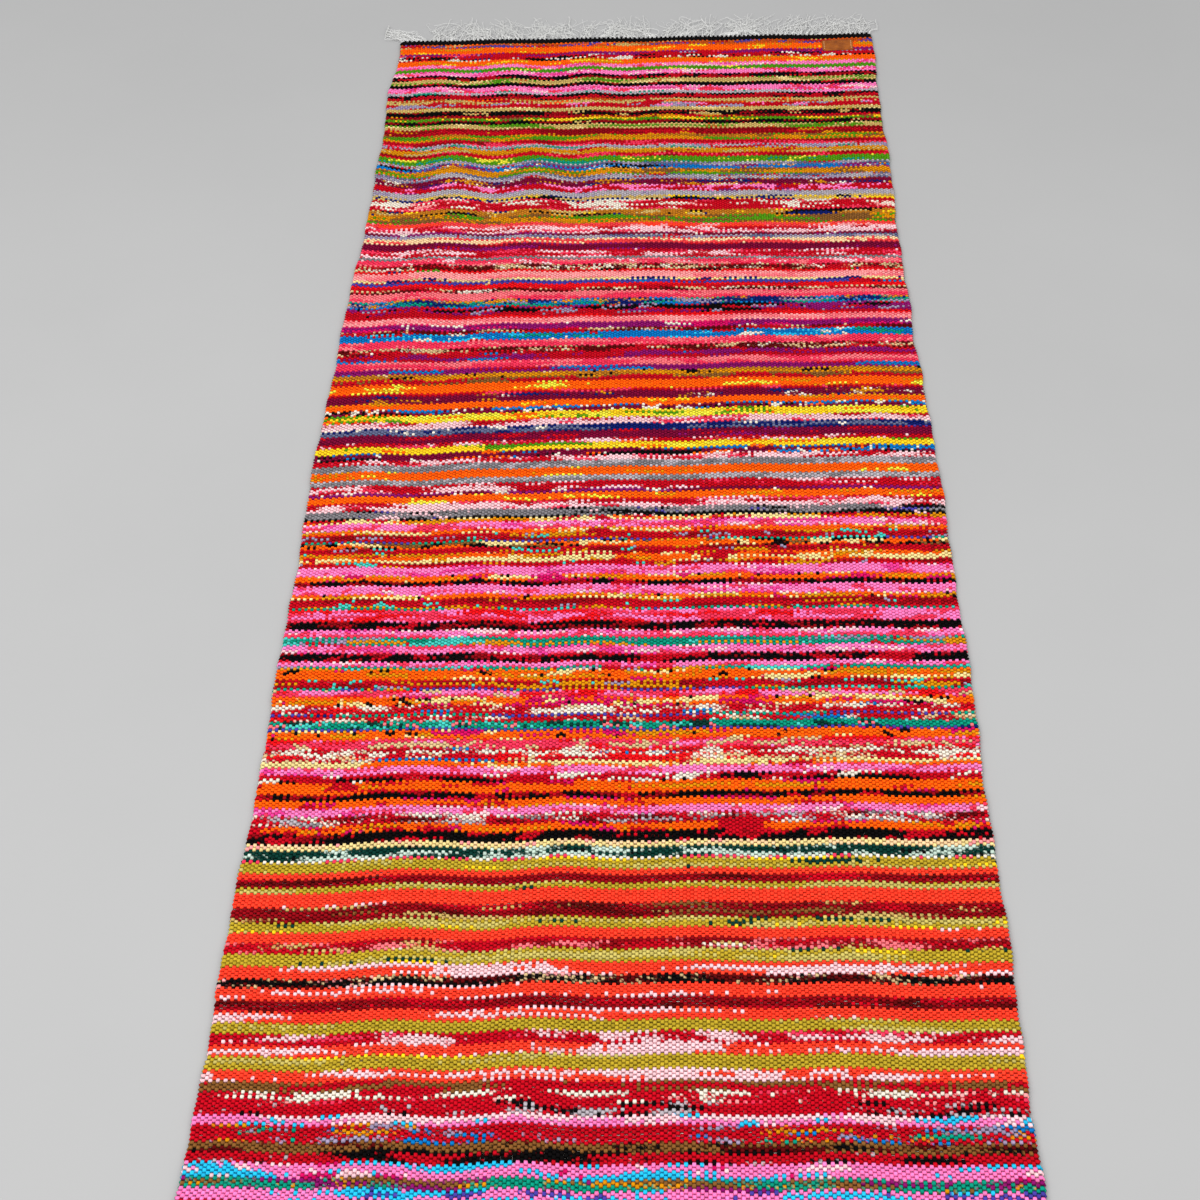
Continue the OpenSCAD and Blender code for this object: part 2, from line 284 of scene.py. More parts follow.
# The weaving draft, band by band from the label end: how many picks of each mix.
DRAFT = [
    "rust 4, orange_yellow 6, plum_grey 4, black_mix 4",
    "orange_yellow 5, pink 4, green 3, pink 5, dark_black 4",
    "khaki_green 4, dark_black 4, pink 5, grey_pink 3, dark_black 5",
    "khaki_orange 4, crimson_grey 5, khaki 3, black 4, dark_red 3",
    "green_yellow 3, black 3, khaki_green 5, dark_red 6, amber_green 5",
    "crimson 4, mauve_teal 4, gold_khaki 4, crimson 4, green 5",
    "grey_lilac 3, medley 3, amber_green 5, grey_lilac 5, burgundy_dots 5",
    "crimson_pink 5, light_grey 5, yellow_navy 3, crimson_white 9",
    "yellow_black 4, amber_green 7, coral 4, crimson_pale 5",
    "plum 2, grey_lilac 2, coral_peach 5, burgundy 5, crimson_pale 6",
    "grey 2, salmon_rose 4, maroon_beige 4, red_mix 2, light_salmon 5, cream_navy 2",
    "purple_blue 3, bright_red 3, maroon_beige 3, rose_salmon 6, navy_teal 5",
    "red_purple 6, bright_red 3, light_salmon 4, plum_white 4, maroon_beige 3",
    "blue_white 5, rose_salmon 5, maroon_beige 5, plum_blue 5",
    "rose_salmon 5, plum_blue 4, golden_brown 3, crimson_brown 4, orange 6",
    "crimson 2, burgundy_dots 5, orange_yellow 4, burgundy_blue 4, yellow_green 5",
    "crimson_pale 4, indigo_slate 5, burgundy 5, crimson_pale 3, yellow_green 4",
    "burgundy_blue 4, crimson_pale 4, grey 4",
    "orange 5, grey 4, crimson_pale 5, plum 2",
    "orange 4, crimson_pale 6, grey_black 5, cream_orange 3, pink 4",
    "cream_orange 3, crimson_amber 4, teal_row 1, orange_black 3, crimson_amber 4, cream_orange 5",
    "crimson_amber 3, pink 5, orange_cream 3, dark_black 3, pink 5",
    "orange_cream 3, crimson_amber 5, teal_row 1, pink_red 7, dark_black 4",
    "pink 4, teal_amber 5, pink 4, dark_black 4, pink 3",
    "teal_amber 2, orange_cream 5, crimson_amber 4, teal_row 1, red_pink_beige 4, orange_cream 4",
    "crimson_beige 4, indigo 1, crimson_beige 3, teal 3, indigo 1, orange_cream 5, red_pink_beige 4",
    "crimson_beige 6, cream_orange 3, pink 3, black_white_red 4, orange_crimson 5",
    "dark_black 3, orange_crimson 3, pink 4, white_crimson 4, orange_crimson 4, dark_black 4",
    "peach 3, pine_white 4, pink_white 1, olive 4, tomato 3",
    "dark_crimson 3, olive 3, tomato 6",
    "maroon_khaki 6, olive 4, tomato 5, maroon_pink 4",
    "olive 5, tomato_white 5, black_beige 4, tomato_white 5",
    "dark_crimson 4, tomato_white 5, olive 4, crimson_pale 5, palepink_tomato 4",
    "olive 5, tomato_pale 5, brown_crimson 3, crimson_white 5, crimson_black 4",
    "light_pink 4, crimson_beads 6, brown_black 3, crimson_black 4",
    "pink_cyan 5, green_plum 4, cyan_pink 4, crimson 4",
    "olive 5, tomato 5, grey 4, burgundy 4, pink 4",
    "orange_yellow 5, dark_black 4, rose_salmon 5, teal 3, orange_yellow 5, rust 5",
]

# Mixes of thinner yarn, which let the white warp peek out between the beads
THIN_MIXES = {"dark_crimson": 0.90, "dark_red": 0.93, "crimson_beads": 0.93, "maroon_khaki": 0.95}

# Tweed yarns mix their colours within a bead: the share of plies that stray
TWEED_MIXES = {
    "black_beige": 0.75, "white_crimson": 0.6, "pine_white": 0.4, "maroon_khaki": 0.6, "maroon_pink": 0.5,
    "maroon_beige": 0.5, "medley": 0.5, "green_plum": 0.4, "crimson_beige": 0.4, "burgundy_dots": 0.4,
    "navy_teal": 0.4, "brown_black": 0.5, "crimson_black": 0.35, "crimson_beads": 0.3, "grey_lilac": 0.4,
    "crimson_pale": 0.3, "crimson_white": 0.3, "grey_black": 0.4, "rust": 0.4, "khaki_green": 0.3,
    "mauve_teal": 0.4,
}
# The share of stray plies in every other yarn
PLAIN_TWEED = 0.05


def linear(rgb):
    value = np.array(rgb, float) / 255
    return np.where(value <= 0.04045, value / 12.92, ((value + 0.055) / 1.055) ** 2.4)


COLOURS = {name: linear(rgb) for name, rgb in PALETTE.items()}


def smooth_noise(rng, rows, count, run):
    """Rows of normal noise that keeps its value for about `run` samples."""
    reach = max(int(3 * run), 1)
    kernel = np.exp(-0.5 * (np.arange(-reach, reach + 1) / max(0.42 * run, 0.25)) ** 2)
    kernel /= np.sqrt((kernel ** 2).sum())
    raw = rng.standard_normal((rows, count + 2 * reach))
    return np.array([np.convolve(row, kernel, "valid") for row in raw])


def mix_colours(rng, name, picks):
    """Linear colour of every warp crossing of some picks of one mix.

    An accent shows where a field of noise passes a bar. Part of the field is shared by all the picks, part by
    neighbouring picks, and a little belongs to one crossing, so that the patches fray at their edges.
    """
    base, *accents = MIXES[name]
    colours = np.tile(COLOURS[base], (picks, WARP_ENDS, 1))
    for accent, share, run in accents:
        shared = smooth_noise(rng, 1, WARP_ENDS, 5 * run)
        own = smooth_noise(rng, picks + 1, WARP_ENDS, 2.2 * run)
        own = (own[1:] + own[:-1]) / math.sqrt(2)
        field = 0.38 * shared + 0.92 * own + 0.20 * rng.standard_normal((picks, WARP_ENDS))
        along_rug = smooth_noise(rng, 1, picks, 2.5)[0]
        row_share = np.clip(share * np.exp(0.70 * (1 - share) * along_rug - 0.15), 0.001, 0.9)
        bar = np.array([NORMAL.inv_cdf(1 - s) for s in row_share])
        colours[field > bar[:, None]] = COLOURS[accent]
    shade = 1 + 0.07 * rng.standard_normal((picks, WARP_ENDS, 1)) + 0.05 * rng.standard_normal((picks, 1, 1))
    return np.clip(colours * shade, 0.003, 0.95)


# ---------------------------------------------------------------- mesh helpers

def make_mesh(name, points, quads, material, colours=None, triangles=None):
    """A smooth mesh object from arrays of points and faces."""
    mesh = bpy.data.meshes.new(name)
    faces = [quads.ravel()]
    sizes = [np.full(len(quads), 4)]
    if triangles is not None and len(triangles):
        faces.append(triangles.ravel())
        sizes.append(np.full(len(triangles), 3))
    corners, sizes = np.concatenate(faces), np.concatenate(sizes)
    mesh.vertices.add(len(points))
    mesh.vertices.foreach_set("co", points.astype(np.float32).ravel())
    mesh.loops.add(len(corners))
    mesh.loops.foreach_set("vertex_index", corners.astype(np.int32))
    mesh.polygons.add(len(sizes))
    mesh.polygons.foreach_set("loop_start", np.concatenate([[0], np.cumsum(sizes)[:-1]]).astype(np.int32))
    mesh.polygons.foreach_set("use_smooth", np.ones(len(sizes), bool))
    if colours is not None:
        layer = mesh.color_attributes.new("Yarn", "FLOAT_COLOR", "POINT")
        rgba = np.concatenate([colours, np.ones((len(colours), 1))], axis=1)
        layer.data.foreach_set("color", rgba.astype(np.float32).ravel())
    mesh.update(calc_edges=True)
    mesh.validate()
    made = bpy.data.objects.new(name, mesh)
    bpy.context.scene.collection.objects.link(made)
    mesh.materials.append(material)
    return made


def ring_faces(rings, sides, start=0):
    """Quads that join consecutive rings of a tube."""
    ring, side = np.meshgrid(np.arange(rings - 1), np.arange(sides), indexing="ij")
    following = (side + 1) % sides
    a = start + ring * sides + side
    b = start + ring * sides + following
    return np.stack([a, b, b + sides, a + sides], axis=-1).reshape(-1, 4)


def cap_faces(rings, sides, start=0):
    """The two end caps of a tube as fans of triangles."""
    last = start + (rings - 1) * sides
    first_loop = np.arange(sides)[::-1] + start
    last_loop = np.arange(sides) + last
    fans = []
    for loop in (first_loop, last_loop):
        fans += [[loop[0], loop[i], loop[i + 1]] for i in range(1, sides - 1)]
    return np.array(fans)


# ---------------------------------------------------------------- materials

def new_material(name):
    material = bpy.data.materials.new(name)
    material.use_nodes = True
    nodes = material.node_tree.nodes
    return material, nodes, material.node_tree.links, nodes["Principled BSDF"]


def add(nodes, kind, **settings):
    node = nodes.new(kind)
    for key, value in settings.items():
        if key in node.inputs:
            node.inputs[key].default_value = value
        else:
            setattr(node, key, value)
    return node


def stretched(nodes, links, scale):
    """Object coordinates scaled by (x, y, z)."""
    coordinates = add(nodes, "ShaderNodeTexCoord")
    mapping = add(nodes, "ShaderNodeMapping")
    mapping.inputs["Scale"].default_value = scale
    links.new(coordinates.outputs["Object"], mapping.inputs["Vector"])
    return mapping.outputs["Vector"]


def yarn_material(name, base, roughness=0.95, sheen=0.0):
    """Spun cotton: base is a colour, or None for the colours stored on the vertices, which are the yarn's dye
    with painted shade in the gaps between picks.
    """
    material, nodes, links, shader = new_material(name)
    fibres = add(nodes, "ShaderNodeTexNoise", Scale=1.0, Detail=4.0, Roughness=0.65)
    links.new(stretched(nodes, links, (420, 2600, 2600)), fibres.inputs["Vector"])
    tone = add(nodes, "ShaderNodeMapRange")
    for socket, value in (("From Min", 0.3), ("From Max", 0.7), ("To Min", 0.80), ("To Max", 1.16)):
        tone.inputs[socket].default_value = value
    links.new(fibres.outputs["Fac"], tone.inputs["Value"])
    tint = add(nodes, "ShaderNodeVectorMath", operation="SCALE")
    if base is None:
        dyed = add(nodes, "ShaderNodeVertexColor", layer_name="Yarn")
        links.new(dyed.outputs["Color"], tint.inputs[0])
    else:
        tint.inputs[0].default_value = base
    links.new(tone.outputs["Result"], tint.inputs["Scale"])
    links.new(tint.outputs["Vector"], shader.inputs["Base Color"])
    twist = add(nodes, "ShaderNodeTexWave", wave_type="BANDS", bands_direction="DIAGONAL",
                Scale=1.0, Distortion=1.5, Detail=2.0)
    twist.inputs["Detail Scale"].default_value = 1.5
    links.new(stretched(nodes, links, (260, 190, 190)), twist.inputs["Vector"])
    both = add(nodes, "ShaderNodeMath", operation="MULTIPLY_ADD")
    links.new(twist.outputs["Fac"], both.inputs[0])
    both.inputs[1].default_value = 0.7
    links.new(fibres.outputs["Fac"], both.inputs[2])
    bump = add(nodes, "ShaderNodeBump", Strength=0.55, Distance=0.0004)
    links.new(both.outputs["Value"], bump.inputs["Height"])
    links.new(bump.outputs["Normal"], shader.inputs["Normal"])
    shader.inputs["Roughness"].default_value = roughness
    shader.inputs["Specular IOR Level"].default_value = 0.03
    shader.inputs["Sheen Weight"].default_value = sheen
    shader.inputs["Sheen Roughness"].default_value = 0.5
    return material


def leather_material():
    """Tan vegetable leather with a fine grain and darker, rubbed patches."""
    material, nodes, links, shader = new_material("tan_leather")
    patches = add(nodes, "ShaderNodeTexNoise", Scale=1.0, Detail=5.0, Roughness=0.6)
    links.new(stretched(nodes, links, (90, 90, 90)), patches.inputs["Vector"])
    ramp = add(nodes, "ShaderNodeValToRGB")
    ramp.color_ramp.elements[0].position = 0.3
    ramp.color_ramp.elements[0].color = (*linear((110, 52, 8)), 1)
    ramp.color_ramp.elements[1].position = 0.72
    ramp.color_ramp.elements[1].color = (*linear((160, 86, 20)), 1)
    links.new(patches.outputs["Fac"], ramp.inputs["Fac"])
    links.new(ramp.outputs["Color"], shader.inputs["Base Color"])
    grain = add(nodes, "ShaderNodeTexVoronoi", feature="DISTANCE_TO_EDGE", Scale=1.0)
    links.new(stretched(nodes, links, (1300, 1300, 1300)), grain.inputs["Vector"])
    bump = add(nodes, "ShaderNodeBump", Strength=0.35, Distance=0.00015)
    links.new(grain.outputs["Distance"], bump.inputs["Height"])
    links.new(bump.outputs["Normal"], shader.inputs["Normal"])
    shader.inputs["Roughness"].default_value = 0.55
    shader.inputs["Specular IOR Level"].default_value = 0.15
    return material


def floor_material():
    """Pale grey painted floor with faint clouding."""
    material, nodes, links, shader = new_material("pale_floor")
    cloud = add(nodes, "ShaderNodeTexNoise", Scale=1.6, Detail=5.0, Roughness=0.55)
    coordinates = add(nodes, "ShaderNodeTexCoord")
    links.new(coordinates.outputs["Object"], cloud.inputs["Vector"])
    ramp = add(nodes, "ShaderNodeValToRGB")
    ramp.color_ramp.elements[0].position = 0.35
    ramp.color_ramp.elements[0].color = (0.350, 0.350, 0.350, 1)
    ramp.color_ramp.elements[1].position = 0.7
    ramp.color_ramp.elements[1].color = (0.366, 0.366, 0.366, 1)
    links.new(cloud.outputs["Fac"], ramp.inputs["Fac"])
    links.new(ramp.outputs["Color"], shader.inputs["Base Color"])
    shader.inputs["Roughness"].default_value = 0.8
    shader.inputs["Specular IOR Level"].default_value = 0.1
    return material


# The vertex colours this material shows carry painted shade in the gaps between picks.
DYED_YARN_AND_PAINTED_SHADE = yarn_material("dyed_yarn_painted_shade", None)
BLACK_TWINE = yarn_material("black_twine", linear((14, 12, 13)), 0.9)
WARP_COTTON = yarn_material("cotton_warp", linear((236, 230, 218)))
FRINGE_COTTON = yarn_material("cotton_fringe", linear((222, 222, 220)), 0.95, 0.03)
LEATHER = leather_material()
THREAD = yarn_material("label_thread", linear((226, 190, 140)), 0.6)


# ---------------------------------------------------------------- weft

# Where a bead's two rings stand, in warp pitches from its warp end
SHOULDER = 0.41
# A yarn's section, seen along it: how far out and how high each corner is
SECTION_OUT = np.array([1.0, 0.38, -0.38, -1.0, 0.0])
SECTION_UP = np.array([0.0, 1.0, 1.0, 0.0, -1.0])
# Painted shade: the colour is darkened at the corners down in the gaps between two picks, where shadow falls
SECTION_PAINTED_SHADE = np.array([0.34, 1.0, 1.0, 0.34, 0.9])


def ply_colours(rng, tint, woven, sides, tweed):
    """Colour of every corner of a yarn: the plies of tweed yarns carry their neighbours' colours."""
    picks, rings = tint.shape[:2]
    here = np.arange(rings)[None, :, None]
    stray = rng.random((picks, rings, sides)) < tweed[:, None, None]
    shift = np.where(stray, rng.integers(-9, 10, (picks, rings, sides)), 0)
    source = np.where(stray, np.clip(here + shift, 0, woven - 1), here)
    return tint[np.arange(picks)[:, None, None], source]


def weave(name, ys, colours, first_pick, material, rng, thin=None, tweed=None, plump=0.00252,
          lift=CROWN_LIFT, uneven=0.04):
    """One continuous yarn that goes back and forth over and under the warp ends, one pick at each y.

    thin and tweed hold one number for each pick; plump is half a bead's length along the rug.
    """
    picks, sides = len(ys), len(SECTION_OUT)
    pick = np.arange(picks)[:, None]
    end = np.arange(WARP_ENDS)[None, :]
    above = np.where((pick + first_pick + end) % 2 == 0, 1.0, -1.0)
    thin = np.ones(picks) if thin is None else thin
    tweed = np.zeros(picks) if tweed is None else tweed
    size = 1 + 0.05 * rng.standard_normal((picks, WARP_ENDS))
    size = size + uneven * smooth_noise(rng, picks, WARP_ENDS, 12)
    size = np.clip(size, 0.86, 1.15) * thin[:, None]
    side = np.where(np.arange(picks) % 2 == 0, 1.0, -1.0)

    # Two rings shape the bead over or under each warp end, and three more the loop round the selvedge.
    woven = 2 * WARP_ENDS
    rings = woven + 3
    centre = np.zeros((picks, rings, 3))
    wide = np.zeros((picks, rings))
    tall = np.zeros((picks, rings))
    tint = np.zeros((picks, rings, 3))
    left = np.zeros((picks, rings, 2))
    stray = 0.00016 * rng.standard_normal((picks, WARP_ENDS))
    sag = 0.00010 * rng.standard_normal((picks, WARP_ENDS))
    height = np.clip(size, 0.85, 1.06)
    for half, shift in ((0, -SHOULDER), (1, SHOULDER)):
        at = slice(half, woven, 2)
        centre[:, at, 0] = WARP_X + shift * WARP_PITCH + stray
        centre[:, at, 1] = ys[:, None] + sag
        centre[:, at, 2] = MID_Z + above * lift * height
        wide[:, at] = plump * size
        tall[:, at] = YARN_R * height
        tint[:, at] = colours
    for values in (centre, wide, tall, tint):
        values[1::2, :woven] = values[1::2, :woven][:, ::-1]
    left[..., 1] = side[:, None]

    step = np.diff(ys, append=2 * ys[-1] - ys[-2] if picks > 1 else ys[-1] - 0.0026)
    for ring, (out, along, up, angle) in enumerate([(0.75, 0.15, 0.5, 0.6), (1.0, 0.5, 0.0, math.pi / 2),
                                                    (0.75, 0.85, -0.5, math.pi - 0.6)], woven):
        centre[:, ring, 0] = side * (EDGE_X + out * SELVEDGE_LOOP)
        centre[:, ring, 1] = ys + along * step
        centre[:, ring, 2] = MID_Z + up * (centre[:, woven - 1, 2] - MID_Z)
        left[:, ring, 0], left[:, ring, 1] = math.sin(angle), side * math.cos(angle)
        wide[:, ring], tall[:, ring] = 0.55 * plump, YARN_R
        tint[:, ring] = tint[:, woven - 1]

    total = picks * rings - 3
    centres, left = centre.reshape(-1, 1, 3)[:total], left.reshape(-1, 1, 2)[:total]
    wide, tall = wide.reshape(-1, 1)[:total], tall.reshape(-1, 1)[:total]
    points = np.repeat(centres, sides, axis=1)
    points[..., :2] += left * (wide * SECTION_OUT)[..., None]
    points[..., 2] += tall * SECTION_UP
    tints = ply_colours(rng, tint, woven, sides, tweed)
    # Painted shade: the corners down in the gaps between picks are darkened, where shadow falls.
    tints = tints.reshape(-1, sides, 3)[:total] * SECTION_PAINTED_SHADE[:, None]
    return make_mesh(name, lay(points.reshape(-1, 3)), ring_faces(total, sides), material,
                     tints.reshape(-1, 3), cap_faces(total, sides))


def band_yarns(rng, draft, picks):
    """Crossing colours, thinness and tweediness of a band's picks; the draft gives the share of each mix."""
    entries = [entry.rsplit(" ", 1) for entry in draft.split(", ")]
    shares = np.cumsum([int(count) for _, count in entries])
    stops = np.round(shares * picks / shares[-1]).astype(int)
    colours, thin, tweed, done = [], [], [], 0
    for (mix, _), stop in zip(entries, stops):
        colours.append(mix_colours(rng, mix, stop - done))
        thin += [THIN_MIXES.get(mix, 1.0)] * (stop - done)
        tweed += [TWEED_MIXES.get(mix, PLAIN_TWEED)] * (stop - done)
        done = stop
    return np.concatenate(colours), np.array(thin), np.array(tweed)


# Each fold's two bodies, where it lies along the rug and half the length of cloth that bends; the sign
# says which way along the rug the second body lies.
FOLD_ZONES = {
    ("far_half", "far_end"): (FAR_FOLD_Y, 0.0075),
    ("near_half", "far_half"): (MIDDLE_FOLD_Y, 0.020),
    ("near_half", "near_end"): (NEAR_FOLD_Y, -0.0075),
}
# A piece this close to a fold is left on no body
BEND_REACH = 0.075


def join_bodies(piece, low_y, high_y, body):
    """Leaves a piece that lies near a fold on no body, with its place baked into its mesh, or lets it ride on
    its body.
    """
    for (a, b), (fold_y, half_zone) in FOLD_ZONES.items():
        if low_y - BEND_REACH < fold_y < high_y + BEND_REACH:
            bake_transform(piece)
            return
    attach(piece, body)


def body_holding(node):
    return frame["nodes"][node]["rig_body"]


def make_bands():
    """All the coloured weft, one piece for each CAD band."""
    bands, done = [], 0
    for index, draft in enumerate(DRAFT):
        node = f"weft_band_{index + 1:02d}"
        rng = np.random.default_rng(SEED + index)
        low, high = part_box(node)
        picks = round((high.y - low.y) / PICK_PITCH)
        colours, thin, tweed = band_yarns(rng, draft, picks)
        pitch = (high.y - low.y) / picks
        ys = high.y - (np.arange(picks) + 0.5) * pitch
        piece = weave(f"weft_{index + 1:02d}", ys, colours, done, DYED_YARN_AND_PAINTED_SHADE, rng, thin, tweed)
        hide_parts(node)
        join_bodies(piece, low.y, high.y, body_holding(node))
        bands.append(piece)
        done += picks
    return bands


# ---------------------------------------------------------------- warp, headings and fringes

def rows_between(low, high):
    """Rows along the rug, close together at the folds and far apart elsewhere."""
    rows = set(np.round(np.arange(low, high, 0.05), 5)) | {high}
    for fold_y, half_zone in FOLD_ZONES.values():
        reach = abs(half_zone) + 0.008
        rows |= set(np.round(np.arange(fold_y - reach, fold_y + reach, 0.0015), 5))
    return np.array(sorted(y for y in rows if low <= y <= high))


def make_warp(name, low, high, nodes):
    """A sheet of warp ends laid side by side: a ribbed ribbon with an upper and a lower face."""
    ys = rows_between(low, high)
    # Each end is a low rib between two valleys.
    rib = np.array([-0.5, -0.22, 0.22])
    heights = np.array([0.00008, 0.00034, 0.00034])
    xs = (WARP_X[:, None] + rib * WARP_PITCH).ravel()[1:]
    up = np.tile(heights, WARP_ENDS)[1:]
    count = len(xs)
    points = []
    for y in ys:
        points.append(np.stack([xs, np.full(count, y), MID_Z + up], axis=1))
        points.append(np.stack([xs[::-1], np.full(count, y), MID_Z - up[::-1]], axis=1))
    points = lay(np.concatenate(points))
    around = 2 * count
    quads = ring_faces(len(ys), around)
    last = (len(ys) - 1) * around
    here = np.arange(count - 1)
    first_cap = np.stack([here, around - 1 - here, around - 2 - here, here + 1], axis=1)
    last_cap = np.stack([here, here + 1, around - 2 - here, around - 1 - here], axis=1) + last
    quads = np.concatenate([quads[:, ::-1], first_cap[:, ::-1], last_cap[:, ::-1]])
    piece = make_mesh(name, points, quads, WARP_COTTON)
    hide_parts(*nodes)
    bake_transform(piece)
    return piece


def make_heading(end, body):
    """Four thick black picks that lock the weft at one end."""
    node = f"heading_{'far' if end > 0 else 'near'}"
    rng = np.random.default_rng(SEED + 90 + end)
    low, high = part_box(node)
    picks = 4
    # The twine bulges this far past the end of the cloth.
    bulge = 0.0010
    pitch = (high.y - low.y + bulge) / picks
    start = high.y + (bulge if end > 0 else 0.0)
    ys = start - (np.arange(picks) + 0.5) * pitch
    shade = 1 + 0.25 * rng.standard_normal((picks, WARP_ENDS, 1))
    black = np.clip(linear((15, 12, 13)) * shade, 0.002, 0.02)
    piece = weave(f"twined_{node}", ys, black, 1 if end > 0 else 0, BLACK_TWINE, rng, plump=0.0042,
                  lift=0.00148, uneven=0.10)
    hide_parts(node)
    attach(piece, body)
    return piece


def curl(rng, count, t, waves):
    """A sum of random sine waves along each strand; waves lists (size, half turns)."""
    return sum(rng.normal(0, size, (count, 1)) * np.sin(turns * np.pi * t + rng.uniform(0, 6.28, (count, 1)))
               for size, turns in waves)


def strand_paths(rng, end, strands, steps):
    """Centre lines of the loose plies of one fringe, flat on the floor and tangled."""
    ends = np.repeat(WARP_X, strands)
    count = len(ends)
    t = np.linspace(0, 1, steps)[None, :]
    # Strands gather into clumps and lean with them; those at the left corner lean far out.
    clump_at = np.cumsum(rng.uniform(0.010, 0.030, 60)) - HALF_WIDTH - 0.01
    nearest = np.abs(ends[:, None] - clump_at[None, :]).argmin(axis=1)
    lean = rng.normal(0, 0.38, len(clump_at))[nearest] + rng.normal(0, 0.22, count)
    lean = lean - 0.75 * np.exp(-(ends + HALF_WIDTH) / 0.03) + 0.05 * np.exp(-(HALF_WIDTH - ends) / 0.03)
    reach = FRINGE_L * np.clip(rng.normal(0.66, 0.13, count), 0.35, 1.0)
    pull = clump_at[nearest] - ends
    gather = rng.uniform(0.15, 0.75, count)[:, None] * np.sin(np.pi * np.clip(t * 0.9, 0, 1))
    curl_x = curl(rng, count, t, ((0.0085, 1.6), (0.0050, 2.9), (0.0010, 5.5)))
    curl_y = curl(rng, count, t, ((0.0085, 1.9), (0.0030, 3.9)))
    sideways = (np.tan(np.clip(lean, -0.95, 0.95)) * reach)[:, None] * t ** 1.3
    x = ends[:, None] + pull[:, None] * gather + sideways + curl_x * t ** 0.7
    y = np.clip(reach[:, None] * t * np.cos(0.5 * lean)[:, None] + curl_y * t, -0.004, FRINGE_L)
    # They leave the middle of the cloth, hump a little, and then drop to the floor or lie on one another.
    hump = 0.0022 * np.exp(-((t - 0.18) / 0.16) ** 2)
    z = 0.0006 + (MID_Z - 0.0006) * np.exp(-t / 0.12) + hump
    z = z + rng.uniform(0.0, 0.0026, (count, 1)) * smoothstep(0.05, 0.4, t)
    z = z + np.abs(curl(rng, count, t, ((0.0016, 2.4),))) * t
    return x, end * (WOVEN_END - 0.0006 + y), z


def make_fringe(end, body):
    """The loose ends of the warp beyond one heading, unravelled into fine plies."""
    node = f"fringe_{'far' if end > 0 else 'near'}"
    rng = np.random.default_rng(SEED + 70 + end)
    steps, sides = 20, 4
    x, y, z = strand_paths(rng, end, 3, steps)
    x = np.clip(x, -HALF_WIDTH - 0.028, HALF_WIDTH + 0.010)
    count = len(x)
    path = np.stack([x, y, z], axis=-1)
    along = np.gradient(path, axis=1)
    along /= np.linalg.norm(along, axis=2, keepdims=True)
    flat = np.cross(along, [0.0, 0.0, 1.0])
    flat /= np.maximum(np.linalg.norm(flat, axis=2, keepdims=True), 1e-6)
    high = np.cross(flat, along)
    taper = np.linspace(1, 0.55, steps)[None, :, None]
    thick = rng.uniform(0.00026, 0.00050, (count, 1, 1)) * taper
    rings = []
    for side in range(sides):
        angle = 2 * math.pi * side / sides
        rings.append(path + thick * (math.cos(angle) * flat + math.sin(angle) * high))
    points = np.stack(rings, axis=2).reshape(-1, 3)
    size = steps * sides
    strip = ring_faces(steps, sides)
    caps = cap_faces(steps, sides)
    starts = (np.arange(count) * size)[:, None, None]
    quads = (strip[None] + starts).reshape(-1, 4)
    triangles = (caps[None] + starts).reshape(-1, 3)
    # The strands lie on the floor itself, so the cloth's ripples don't lift them.
    laid = lay(points)
    laid[:, 2] = np.maximum(points[:, 2], 0.0003)
    piece = make_mesh(f"loose_{node}", laid, quads, FRINGE_COTTON, None, triangles)
    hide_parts(node)
    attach(piece, body)
    return piece


# ---------------------------------------------------------------- label

def make_label(body):
    """A blank leather tab with rounded edges that lies on the weave."""
    low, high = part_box("leather_label")
    centre = np.array([(low.x + high.x) / 2, (low.y + high.y) / 2])
    half = np.array([(high.x - low.x) / 2, (high.y - low.y) / 2])
    columns, rows = 48, 30
    u, v = np.meshgrid(np.linspace(-1, 1, columns), np.linspace(-1, 1, rows), indexing="ij")
    corner = 0.0022
    px, py = u * half[0], v * half[1]
    # The grid's square corners are drawn in to round ones.
    inset_x, inset_y = np.abs(px) - (half[0] - corner), np.abs(py) - (half[1] - corner)
    both = (inset_x > 0) & (inset_y > 0)
    distance = np.maximum(np.hypot(inset_x, inset_y), 1e-9)
    scale = np.where(both, corner * np.maximum(inset_x, inset_y) / distance, 0)
    px = np.where(both, np.sign(px) * (half[0] - corner + inset_x / distance * scale), px)
    py = np.where(both, np.sign(py) * (half[1] - corner + inset_y / distance * scale), py)
    to_edge = np.minimum(half[0] - np.abs(px), half[1] - np.abs(py))
    round_off = 0.0005 * np.exp(-to_edge / 0.0004)
    dished = -0.00016 * np.exp(-((half[0] - np.abs(px) - 0.003) / 0.0012) ** 2)
    top = high.z - round_off + dished
    bottom = np.full_like(top, low.z - 0.0003)
    upper = np.stack([px + centre[0], py + centre[1], top], axis=-1).reshape(-1, 3)
    lower = np.stack([px + centre[0], py + centre[1], bottom], axis=-1).reshape(-1, 3)
    points = lay(np.concatenate([upper, lower]))
    index = np.arange(columns * rows).reshape(columns, rows)
    a, b, c, d = index[:-1, :-1], index[1:, :-1], index[1:, 1:], index[:-1, 1:]
    sheet = np.stack([a, b, c, d], axis=-1).reshape(-1, 4)
    rim = np.concatenate([index[:, 0], index[-1, 1:], index[-2::-1, -1], index[0, -2:0:-1]])
    following = np.roll(rim, -1)
    offset = columns * rows
    wall = np.stack([rim, rim + offset, following + offset, following], axis=1)
    quads = np.concatenate([sheet, sheet[:, ::-1] + offset, wall])
    piece = make_mesh("stitched_leather_label", points, quads, LEATHER)
    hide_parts("leather_label")
    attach(piece, body)
    return piece


